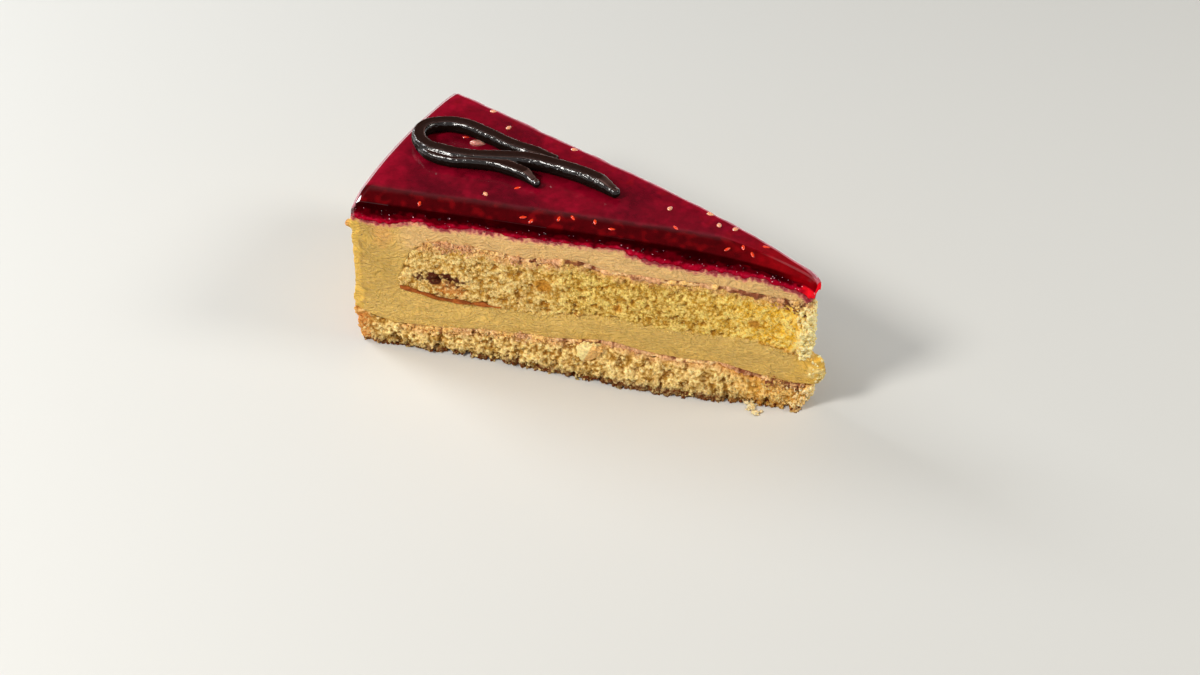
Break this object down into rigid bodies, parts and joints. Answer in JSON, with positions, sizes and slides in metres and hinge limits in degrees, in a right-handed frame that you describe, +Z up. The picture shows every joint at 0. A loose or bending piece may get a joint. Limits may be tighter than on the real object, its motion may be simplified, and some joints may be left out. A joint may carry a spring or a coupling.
{
  "type": "raspberry cake slice",
  "caption": "Wedge of layered sponge and vanilla cream cake with a raspberry glaze and a piped chocolate loop on top.",
  "frame": {"origin": "centre of the footprint's bounding box, on the underside the slice stands on", "axes": "+X along the slice towards its point, +Z up, the front cut on the -Y side"},
  "size_m": [0.1346, 0.061, 0.0558],
  "materials": {
    "base_sponge": "open yellow crumb, browned along the foot",
    "base_jam": "moist pink-brown soaked crumb",
    "vanilla_cream": "satin cream with knife drag marks",
    "upper_sponge": "open yellow crumb",
    "upper_jam": "moist pink-brown soaked crumb",
    "raspberry_glaze": "deep crimson mirror glaze with seeds",
    "chocolate_loop": "dull flat top, glossy sides"
  },
  "bodies": {
    "root": {"base_sponge": "base_sponge", "base_jam": "base_jam", "vanilla_cream": "vanilla_cream", "upper_sponge": "upper_sponge", "upper_jam": "upper_jam", "raspberry_glaze": "raspberry_glaze", "chocolate_loop": "chocolate_loop"}
  },
  "joints": []
}
